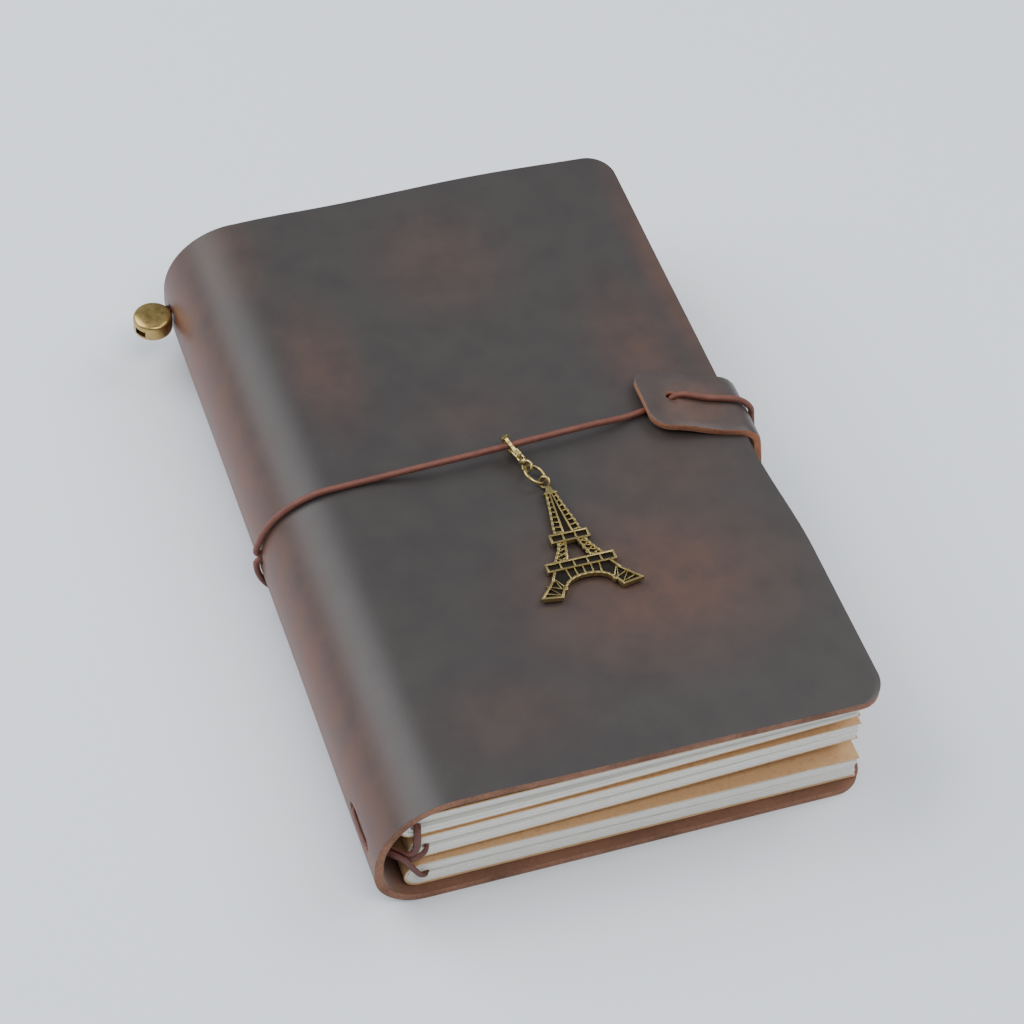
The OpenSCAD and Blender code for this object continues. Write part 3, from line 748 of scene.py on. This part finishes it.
turned_brass = brass("turned brass", "#b59a62", "#83703f", 0.32, 0.3)
bead_low, bead_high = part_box("bead")
bead_mid = (bead_low + bead_high) / 2
bead_r = (bead_high.x - bead_low.x) / 2 / mm
bead_h = (bead_high.z - bead_low.z) / mm


def lathed(outline, segments=72):
    """A closed solid turned about z from an outline of (radius, height), in millimetres."""
    shape = bmesh.new()
    rings = []
    for r, z in outline:
        if r == 0:
            rings.append([shape.verts.new((0, 0, z * mm))])
            continue
        rings.append([shape.verts.new((r * mm * math.cos(2 * math.pi * k / segments),
                                       r * mm * math.sin(2 * math.pi * k / segments), z * mm))
                      for k in range(segments)])
    for a, b in zip(rings, rings[1:]):
        for k in range(segments):
            j = (k + 1) % segments
            if len(a) == 1:
                shape.faces.new((a[0], b[k], b[j]))
            elif len(b) == 1:
                shape.faces.new((a[k], a[j], b[0]))
            else:
                shape.faces.new((a[k], a[j], b[j], b[k]))
    return shape


top = bead_h / 2
side_r = bead_r - 0.05
outline = [(0, top), (2.0, top - 0.02), (3.6, top - 0.1), (side_r - 0.75, top - 0.26),
           (side_r - 0.45, top - 0.4), (side_r - 0.12, top - 0.8), (side_r, top - 1.15),
           (side_r, 0.6 - top), (side_r - 0.12, 0.3 - top), (side_r - 0.5, 0.02 - top),
           (3.0, -top), (0, -top)]
bead = piece("brass_bead", lathed(outline), turned_brass)
bead.data.transform(Matrix.Translation(bead_mid))
slot_angle = math.radians(35)
slot_tool = bmesh.new()
bmesh.ops.create_cube(slot_tool, size=1.0)
bmesh.ops.transform(slot_tool, verts=slot_tool.verts, matrix=(
    Matrix.Translation(bead_mid - Vector((0, 0, 0.5 * mm))) @ Matrix.Rotation(slot_angle, 4, "Z")
    @ Matrix.Diagonal((30 * mm, 3.4 * mm, 1.9 * mm, 1))))
slot_block = piece("slot", slot_tool, turned_brass)
milled = bead.modifiers.new("slot", "BOOLEAN")
milled.object = slot_block
settled(bead)
bpy.data.objects.remove(slot_block)
bead.data.set_sharp_from_angle(angle=math.radians(50))
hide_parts("bead")
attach(bead, "bead")

way = Vector((math.cos(slot_angle), math.sin(slot_angle), 0))
across = Vector((-way.y, way.x, 0))
bead_place = bead_mid / mm - Vector((spine_low.x, back_low.y, 0)) - Vector((0, 0, 0.5))
ends = [[bead_place + way * k + across * e * 0.72
         for k in (-4.4, -2.0, 1.0, 3.5, 5.4, 7.0)] for e in (-1, 1)]
tails = strand("binding_elastic_tail", ends, 1.3, 1.3, elastic)
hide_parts("binding_tail")
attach(tails, "bead")

# ---- Leather tab ------------------------------------------------------------------
# Strap of the same hide folded round the fore-edge, with round-cut corners. Each end lies
# over the closing cord, which comes up through a punched hole and runs along its outside.

tab_wide = 20.0
tab_slant = 0.28
tab_reach = 25.0
tab_hole = 7.5
tab_mid_y = middle - 4.6
leg_x = width - tab_reach


def tab_lift(s, run):
    return (cord_thick - 0.1) * (1 - ease((s - tab_hole + 2.5) / run))


def tab_spots():
    """The inner face of the strap from its front end to its back end."""
    over = [(leg_x + s, roof(leg_x + s, middle + 4) + 0.1 + tab_lift(s, 13))
            for s in (0, 3, 6, 9, 12, 15, 18, 21)]
    top_z = roof(width - 1.5, middle + 3)
    low_z = arch(width, middle)
    wall = [(width - 2.4, top_z - 0.1), (width - 0.6, top_z - 0.9), (width + 0.4, top_z - 3),
            (width + 0.7, 0.6 * top_z), (width + 0.6, 0.3 * top_z), (width + 0.4, low_z + 1.6),
            (width - 0.3, low_z + 0.2), (width - 2, low_z - 0.1)]
    under = [(leg_x + s, low_z - 0.1 - tab_lift(s, 4))
             for s in (21, 18, 15, 12, 9, 6, 3, 0)]
    return over + wall + under


tab_line = smooth_line([(x, 0, z) for x, z in tab_spots()], 4)
tab_far = [0.0]
for a, b in zip(tab_line, tab_line[1:]):
    tab_far.append(tab_far[-1] + (b - a).length)
tab_total = tab_far[-1]


def tab_at(s):
    """Inner face of the strap at s along it, and the way out from it."""
    s = min(max(s, 0.0), tab_total)
    k = min(max(i for i, far in enumerate(tab_far) if far <= s), len(tab_line) - 2)
    a, b = tab_line[k], tab_line[k + 1]
    share = (s - tab_far[k]) / (tab_far[k + 1] - tab_far[k])
    c, d = tab_line[max(k - 1, 0)], tab_line[min(k + 2, len(tab_line) - 1)]
    along = (b - a).normalized() * 0.5 + ((b - c).normalized() * (1 - share)
                                          + (d - a).normalized() * share) * 0.5
    along.normalize()
    return a.lerp(b, share), Vector((-along.z, 0, along.x))


def tab_y(s):
    return tab_mid_y - tab_slant * (s - tab_total / 2)


def strap():
    """The strap as a closed sheet, rounded at the corners of both ends."""
    shape = bmesh.new()
    weight = shape.edges.layers.float.new("bevel_weight_edge")
    round_r = 4.5
    stations = [round_r * (1 - math.cos(math.radians(15 * k))) for k in range(7)]
    stations += [round_r + (tab_total / 2 - round_r) * k / 34 for k in range(1, 35)]
    stations += [tab_total - s for s in stations[:-1][::-1]]
    grids = [[], []]
    for s in stations:
        end = min(s, tab_total - s)
        pull = round_r - math.sqrt(max(0, round_r**2 - max(0, round_r - end) ** 2))
        spot, out = tab_at(s)
        out.normalize()
        half = tab_wide / 2 - pull
        for grid, off in zip(grids, (tab_thick, 0.0)):
            grid.append([])
            for k in range(9):
                share = k / 4 - 1
                p = spot + out * (off + 0.15 * (1 - share**2))
                grid[-1].append(shape.verts.new(at(p.x, tab_y(s) + share * half, p.z)))
    for grid, slot in zip(grids, (0, 2)):
        for a, b in zip(grid, grid[1:]):
            for k in range(8):
                shape.faces.new((a[k], a[k + 1], b[k + 1], b[k])).material_index = slot
    outer, inner = grids
    last = len(stations) - 1
    runs = [[(0, k) for k in range(9)], [(last, k) for k in range(9)],
            [(r, 0) for r in range(last + 1)], [(r, 8) for r in range(last + 1)]]
    for run in runs:
        for (r, c), (s, d) in zip(run, run[1:]):
            rim = shape.faces.new((outer[r][c], outer[s][d], inner[s][d], inner[r][c]))
            rim.material_index = 1
            for grid in grids:
                shape.edges.get((grid[r][c], grid[s][d]))[weight] = 1.0
    return shape


tab_worn = [(at(118, 102, closed + 3), (14, 12, 8), 0.45),
            (at(width, 98, 24), (8, 16, 18), 0.5)]
tab_hide = waxed_cowhide("waxed cowhide strap", "#3d3533", "#4a403d", "#75503f", tab_worn)
tab_edge = cut_hide("cut strap edge", "#a06d50", "#784b36")
tab = piece("leather_tab", strap(), tab_hide, tab_edge, flesh_side)
softened(tab, 0.4, by_weight=True)


def cord_y(s):
    """Middle of the cord beside s along the strap."""
    near = min(s, tab_total - s)
    if near < tab_hole:
        return tab_y(s) - 1.8 + 2.6 * near / tab_hole
    return tab_y(s) + 0.8 - 0.02 * (near - tab_hole)


for s in (tab_hole, tab_total - tab_hole):
    spot, out = tab_at(s)
    punched(tab, at(spot.x, cord_y(s), spot.z) + out * tab_thick / 2 * mm, out, 1.6, 6)
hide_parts("tab")

# ---- Closing cord -----------------------------------------------------------------
# Round waxed elastic, 2 mm thick and a little thinner where it is taut. Both ends are
# knotted behind the spine. One strand crosses the front cover and the other the back
# cover, and both meet at the tab.

cord_r = cord_thick / 2
lie = cord_r + 0.05
clasp_x = 0.511 * width
cord_prop = 2.5
taut_cord = 1.7


def along_tab(s, off):
    spot, out = tab_at(s)
    return spot.x + out.x * off, cord_y(s), spot.z + out.z * off


def cord_front_y(x):
    return loop_hole - 2 + x / leg_x * (tab_y(0) - loop_hole - 0.5) - 1.6 * near_clasp(x)


def cord_back_y(x):
    return loop_hole - 1 + x / leg_x * (tab_y(tab_total) - loop_hole - 0.2)


def near_clasp(x):
    return ease((0.29 * width - abs(x - clasp_x)) / (0.14 * width))


bend, start = high_bend
front_route = [(3.4, loop_hole, holes_z + 1.1), (0.4, loop_hole, holes_z + 1.1),
               (-0.8, loop_hole, holes_z + 1.6), (-lie - 0.05, loop_hole - 0.1, holes_z + 2.8)]
for a in (12, 24, 36, 48, 60, 72, 82):
    turn = math.radians(a)
    x = bend - (bend + lie) * math.cos(turn)
    front_route.append((x, loop_hole + (cord_front_y(bend) - loop_hole) * a / 90,
                        start + (roof(bend, middle) - start + lie) * math.sin(turn)))
for k in range(1, 10):
    x = bend + k * (leg_x - bend) / 9.7
    front_route.append((x, cord_front_y(x), roof(x, cord_front_y(x)) + lie + cord_prop * near_clasp(x)))
over = tab_thick + 0.15 + lie
front_route += [along_tab(0.5, -lie), along_tab(tab_hole - 2.6, -lie),
                along_tab(tab_hole - 1.2, -0.5), along_tab(tab_hole, tab_thick / 2),
                along_tab(tab_hole + 1.4, over - 0.5), along_tab(tab_hole + 3, over)]
front_route += [along_tab(s, over) for s in (13, 17, 21, 24, 26, 28.5, 33)]
front_route.append(along_tab(tab_total / 2, over))

bend, start = low_bend
back_route = [(3.4, loop_hole, holes_z - 1.1), (0.4, loop_hole, holes_z - 1.1),
              (-0.8, loop_hole, holes_z - 1.6), (-lie - 0.05, loop_hole - 0.1, holes_z - 2.8)]
rise = arch(bend, middle)
for a in (12, 26, 40, 54, 68, 80):
    turn = math.radians(a)
    x = bend - (bend + lie) * math.cos(turn)
    back_route.append((x, loop_hole + (cord_back_y(bend) - loop_hole) * a / 90,
                       start - (start - rise + lie) * math.sin(turn)))
for k in range(1, 9):
    x = bend + k * (leg_x - bend) / 8.7
    back_route.append((x, cord_back_y(x), arch(x, cord_back_y(x)) - lie))
end = tab_total
back_route += [along_tab(end - 0.5, -lie), along_tab(end - tab_hole + 2.6, -lie),
               along_tab(end - tab_hole + 1.2, -0.5), along_tab(end - tab_hole, tab_thick / 2),
               along_tab(end - tab_hole - 1.4, over - 0.5),
               along_tab(end - tab_hole - 3, over)]
back_route += [along_tab(end - s, over) for s in (13, 17, 21, 24, 26, 28.5, 33)]

waxed_cord = woven("waxed elastic cord", "#844c3b", "#4f2b22", 0.45)
closing_cord = strand("closing_cord_loop", [smooth_line(front_route + back_route[::-1], 5)],
                      taut_cord, taut_cord, waxed_cord, sides=14)
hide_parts("closing_cord_front", "closing_cord_back")
for made in (closing_cord, tab):
    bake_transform(made)

knot_low, knot_high = (corner_ / mm for corner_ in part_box("cord_knot"))
knot_mid = (knot_low + knot_high) / 2 - Vector((spine_low.x, back_low.y, 0))
knot_turns = []
for k in range(49):
    a = 2 * math.pi * k / 48
    knot_turns.append(knot_mid + Vector((0.5 * math.sin(3 * a), 1.25 * math.sin(a)
                      + 0.6 * math.sin(2 * a), 1.25 * math.cos(a) - 0.6 * math.cos(2 * a))))
knot = strand("closing_cord_knot", [knot_turns], taut_cord, taut_cord, waxed_cord)
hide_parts("cord_knot")
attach(knot, "spine")

# ---- Clasp and ring ---------------------------------------------------------------
# Small cast lobster clasp hooked over the cord, with a sprung lever on a rivet, and a
# jump ring bent from round wire. All are brass plated and darkened.

aged_brass = brass("aged brass", "#b3a06c", "#574a30", 0.26, 0.30)
for node in ("clasp_body", "clasp_lever", "clasp_rivet", "jump_ring", "clasp_spring"):
    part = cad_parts[node]
    part.data.materials.clear()
    part.data.materials.append(wire if node == "clasp_spring" else aged_brass)

# ---- Tower charm ------------------------------------------------------------------
# Flat cast charm in the shape of a lattice tower. Raised ribs stand on a thin back plate
# that stays black between them, and a small ring is cast on at the top.

charm_low, charm_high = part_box("tower_charm")
charm_wide = (charm_high.x - charm_low.x) / mm
charm_long = 35.5
charm_thick = 1.8
foot_y = charm_low.y / mm
charm_x = (charm_low.x + charm_high.x) / 2 / mm
charm_z = (charm_low.z + charm_high.z) / 2 / mm - charm_thick / 2
beam = 0.065 * charm_long
beam_low_y = 0.245 * charm_long
beam_high_y = 0.49 * charm_long
neck_y = 0.93 * charm_long


def leg_out(y):
    """Half the tower's width at height y."""
    if y < beam_high_y:
        share = ease((y - beam_low_y) / (beam_high_y - beam_low_y))
        return charm_wide * (0.27 - 0.13 * share)
    share = ease((y - beam_high_y) / (charm_long - beam_high_y))
    return charm_wide * (0.14 - 0.09 * share)


def charm_at(x, y, z):
    return Vector((charm_x + x, foot_y + y, charm_z + z)) * mm


def prism(shape, outline, low_z, high_z, slot):
    """A flat solid with the given outline."""
    levels = [[shape.verts.new(charm_at(x, y, z)) for x, y in outline]
              for z in (low_z, high_z)]
    count = len(outline)
    for ring in levels:
        shape.faces.new(ring).material_index = slot
    for k in range(count):
        j = (k + 1) % count
        side = (levels[0][k], levels[0][j], levels[1][j], levels[1][k])
        shape.faces.new(side).material_index = slot


def rib(shape, points, wide=0.55, high_z=charm_thick, low_z=0.35, closed_ring=False):
    """A raised rib along points."""
    points = [Vector(p) for p in points]
    count = len(points)
    left, right = [], []
    for k, p in enumerate(points):
        before = points[k - 1] if k or closed_ring else p
        after = points[(k + 1) % count] if k < count - 1 or closed_ring else p
        arm_a = (p - before).normalized() if p != before else (after - p).normalized()
        arm_b = (after - p).normalized() if p != after else arm_a
        side = Vector((-(arm_a + arm_b).y, (arm_a + arm_b).x)).normalized()
        reach = wide / 2 / max(0.5, side.dot(Vector((-arm_a.y, arm_a.x))))
        left.append(p + side * reach)
        right.append(p - side * reach)
    steps = range(count if closed_ring else count - 1)
    for k in steps:
        j = (k + 1) % count
        prism(shape, [left[k], left[j], right[j], right[k]], low_z, high_z, 0)


def both_sides(points):
    return points, [(-x, y) for x, y in points]


plate = bmesh.new()
ribs = bmesh.new()
plate_high = 0.95
heights = [beam_high_y + (neck_y - beam_high_y) * k / 6 for k in range(7)]
for a, b in zip(heights, heights[1:]):
    prism(plate, [(-leg_out(a), a), (leg_out(a), a), (leg_out(b), b), (-leg_out(b), b)],
          0.1, plate_high, 0)
window_low, window_high = 0.12 * charm_wide, 0.05 * charm_wide
heights = [beam_low_y + (beam_high_y - beam_low_y) * k / 5 for k in range(6)]
for sign in (-1, 1):
    for a, b in zip(heights, heights[1:]):
        inner = [window_low + (window_high - window_low) * (y - beam_low_y)
                 / (beam_high_y - beam_low_y) for y in (a, b)]
        prism(plate, [(sign * inner[0], a), (sign * leg_out(a), a), (sign * leg_out(b), b),
                      (sign * inner[1], b)], 0.1, plate_high, 0)
arch_half, arch_top, arch_foot = 0.235 * charm_wide, 0.1 * charm_long, 0.06 * charm_long
arc = [(arch_half * math.cos(math.radians(a)), arch_foot + arch_top * math.sin(math.radians(a)))
       for a in range(180, -1, -15)]
for a, b in zip(arc, arc[1:]):
    prism(plate, [a, b, (b[0] * 1.15, beam_low_y), (a[0] * 1.15, beam_low_y)],
          0.1, plate_high, 0)
leg_edge = [(0.27 * charm_wide, beam_low_y), (0.33 * charm_wide, 0.155 * charm_long),
            (0.485 * charm_wide, 0.03 * charm_long), (0.30 * charm_wide, 0.008 * charm_long),
            (0.255 * charm_wide, 0.075 * charm_long), (arch_half, arch_foot)]
for sign in (-1, 1):
    prism(plate, [(sign * x, y) for x, y in leg_edge], 0.1, plate_high, 0)

rails = [beam_high_y + beam + (neck_y - beam_high_y - beam) * k / 8 for k in range(9)]
for line in both_sides([(leg_out(y) - 0.25, y) for y in rails]):
    rib(ribs, line, 0.55)
inner_rail = [(0.045 * charm_wide, beam_high_y + beam), (0.010 * charm_wide, neck_y)]
for line in both_sides(inner_rail):
    rib(ribs, line, 0.42)
rungs = 8
for k in range(rungs):
    y = beam_high_y + beam + (neck_y - beam_high_y - beam) * (k + 0.55) / rungs
    share = (y - beam_high_y - beam) / (neck_y - beam_high_y - beam)
    inner_x = charm_wide * (0.045 - 0.035 * share)
    for line in both_sides([(inner_x, y - 0.15), (leg_out(y) - 0.3, y + 0.15)]):
        rib(ribs, line, 0.36, 1.45)
leg_rail = [beam_low_y + beam + (beam_high_y - beam_low_y - beam) * k / 5 for k in range(6)]
for line in both_sides([(leg_out(y) - 0.25, y) for y in leg_rail]):
    rib(ribs, line, 0.62)
for line in both_sides([(window_low, beam_low_y + beam), (window_high + 0.2, beam_high_y)]):
    rib(ribs, line, 0.5)
crosses = 4
for k in range(crosses):
    ys = [beam_low_y + beam + (beam_high_y - beam_low_y - beam) * (k + e) / crosses
          for e in (0.1, 0.95)]
    share = [(y - beam_low_y) / (beam_high_y - beam_low_y) for y in ys]
    inner = [window_low + (window_high - window_low) * s for s in share]
    for line in both_sides([(inner[0], ys[0]), (leg_out(ys[1]) - 0.3, ys[1])]):
        rib(ribs, line, 0.32, 1.4)
    for line in both_sides([(leg_out(ys[0]) - 0.3, ys[0]), (inner[1], ys[1])]):
        rib(ribs, line, 0.32, 1.4)
for base, half, cells in ((beam_low_y, 0.33, 5), (beam_high_y, 0.18, 3)):
    side = half * charm_wide
    prism(plate, [(-side, base), (side, base), (side, base + beam), (-side, base + beam)],
          0.1, 1.1, 0)
    frame_line = [(-side, base), (side, base), (side, base + beam), (-side, base + beam)]
    rib(ribs, frame_line, 0.55, charm_thick, closed_ring=True)
    for k in range(1, cells):
        x = -side + 2 * side * k / cells
        rib(ribs, [(x, base), (x, base + beam)], 0.42, charm_thick - 0.1)
rib(ribs, [(x, y + 0.25) for x, y in arc], 0.62)
for k in range(1, 6):
    x = arch_half * (k / 3 - 1) * 0.95
    y = arch_foot + arch_top * math.sqrt(max(0, 1 - (x / arch_half) ** 2)) + 0.3
    rib(ribs, [(x, y), (x * 1.1, beam_low_y)], 0.36, 1.45)
for sign in (-1, 1):
    rib(ribs, [(sign * x, y) for x, y in leg_edge], 0.6)
    lattice = [(0.245, 0.10), (0.315, 0.20), (0.275, 0.085), (0.40, 0.13), (0.30, 0.03),
               (0.45, 0.075)]
    rib(ribs, [(sign * x * charm_wide, y * charm_long) for x, y in lattice], 0.36, 1.45)
cap = [(-1.9, neck_y), (1.9, neck_y), (1.6, neck_y + 0.5), (1.0, neck_y + 0.8),
       (0.75, neck_y + 1.7), (0.6, charm_long), (-0.6, charm_long), (-0.75, neck_y + 1.7),
       (-1.0, neck_y + 0.8), (-1.6, neck_y + 0.5)]
prism(ribs, cap, 0.1, charm_thick + 0.15, 0)


def blackened(name):
    """Patina left in the hollows of the casting: matt and almost black."""
    material, skin = finish_named(name)
    place = placed(material)
    soot = speckled(material, place, 1.2, 4.0)
    colour = mixed(material, soot, tint("#0b0806"), tint("#211a11"))
    join(material, colour, skin.inputs["Base Color"])
    relief(material, skin, soot, 0.4, 0.08)
    skin.inputs["Metallic"].default_value = 0.6
    skin.inputs["Roughness"].default_value = 0.6
    return material


patina = blackened("black patina")
charm_plate = piece("tower_charm_plate", plate, patina)
charm_plate.data.set_sharp_from_angle(angle=math.radians(30))
charm_ribs = piece("tower_charm_ribs", ribs, aged_brass)
softened(charm_ribs, 0.1, 2)
charm_ribs.data.set_sharp_from_angle(angle=math.radians(40))

eye_r, eye_wire = 1.4, 0.8
eye_mid = charm_at(0, charm_long + 0.9 + eye_r, charm_thick / 2)
eye_normal = Vector((-0.68, -0.48, 0.56)).normalized()
side = eye_normal.orthogonal().normalized()
lift = eye_normal.cross(side)
circle = []
for k in range(41):
    a = 2 * math.pi * k / 40
    p = (eye_mid + (side * math.cos(a) + lift * math.sin(a)) * eye_r * mm) / mm
    circle.append(p - Vector((spine_low.x, back_low.y, 0)))
charm_ring = strand("tower_charm_ring", [circle], eye_wire, eye_wire, aged_brass)
for made in (charm_plate, charm_ribs, charm_ring):
    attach(made, "charm")
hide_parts("tower_charm")

# ---- Table, light and camera ------------------------------------------------------
# A pale matt table that runs out of sight, lit by a large soft box above the spine side,
# a weaker one from the fore-edge, and a pale room.


def pale_table(name, code):
    material, skin = finish_named(name)
    place = placed(material)
    cloud = speckled(material, place, 300, 2.0)
    rough = spread(material, cloud, 0.0, 1.0, 0.7, 0.85)
    join(material, rough, skin.inputs["Roughness"])
    skin.inputs["Base Color"].default_value = tint(code)
    return material


floor_shape = bmesh.new()
bmesh.ops.create_grid(floor_shape, x_segments=1, y_segments=1, size=3.0)
floor = piece("table_top", floor_shape, pale_table("pale matt board", "#e2e8f0"))


def soft_box(name, place, aim, size, power, colour):
    lamp = bpy.data.lights.new(name, "AREA")
    lamp.shape = "RECTANGLE"
    lamp.size, lamp.size_y = size
    lamp.energy = power
    lamp.color = tint(colour)[:3]
    made = bpy.data.objects.new(name, lamp)
    bpy.context.scene.collection.objects.link(made)
    made.location = place
    made.rotation_euler = (Vector(aim) - Vector(place)).to_track_quat("-Z", "Y").to_euler()


soft_box("left light", (-1.0, 0.6, 1.15), (0, 0, 0), (1.6, 1.4), 30, "#ffffff")
soft_box("right light", (1.0, 0.15, 1.3), (0, 0, 0), (0.9, 0.9), 12, "#ffffff")
soft_box("front light", (0.1, -0.8, 1.5), (0, 0, 0), (0.9, 0.6), 12, "#fff9f2")
room = bpy.data.worlds.new("pale room")
room.use_nodes = True
room.node_tree.nodes["Background"].inputs["Color"].default_value = tint("#dfe8f2")
room.node_tree.nodes["Background"].inputs["Strength"].default_value = 0.5
bpy.context.scene.world = room

lens = bpy.data.cameras.new("camera")
lens.lens = 108.27
lens.sensor_width = 36.0
lens.clip_start = 0.01
camera = bpy.data.objects.new("camera", lens)
bpy.context.scene.collection.objects.link(camera)
turn, height, roll = (math.radians(a) for a in (-22.39, 49.24, 4.98))
toward = Vector((math.sin(turn) * math.cos(height), -math.cos(turn) * math.cos(height),
                 math.sin(height)))
right = (-toward).cross(Vector((0, 0, 1))).normalized()
upward = right.cross(-toward)
right, upward = (right * math.cos(roll) + upward * math.sin(roll),
                 upward * math.cos(roll) - right * math.sin(roll))
pose = Matrix((right, upward, toward)).transposed().to_4x4()
pose.translation = Vector((-195.15, -489.6, 628.6)) * mm
camera.matrix_world = pose
bpy.context.scene.camera = camera
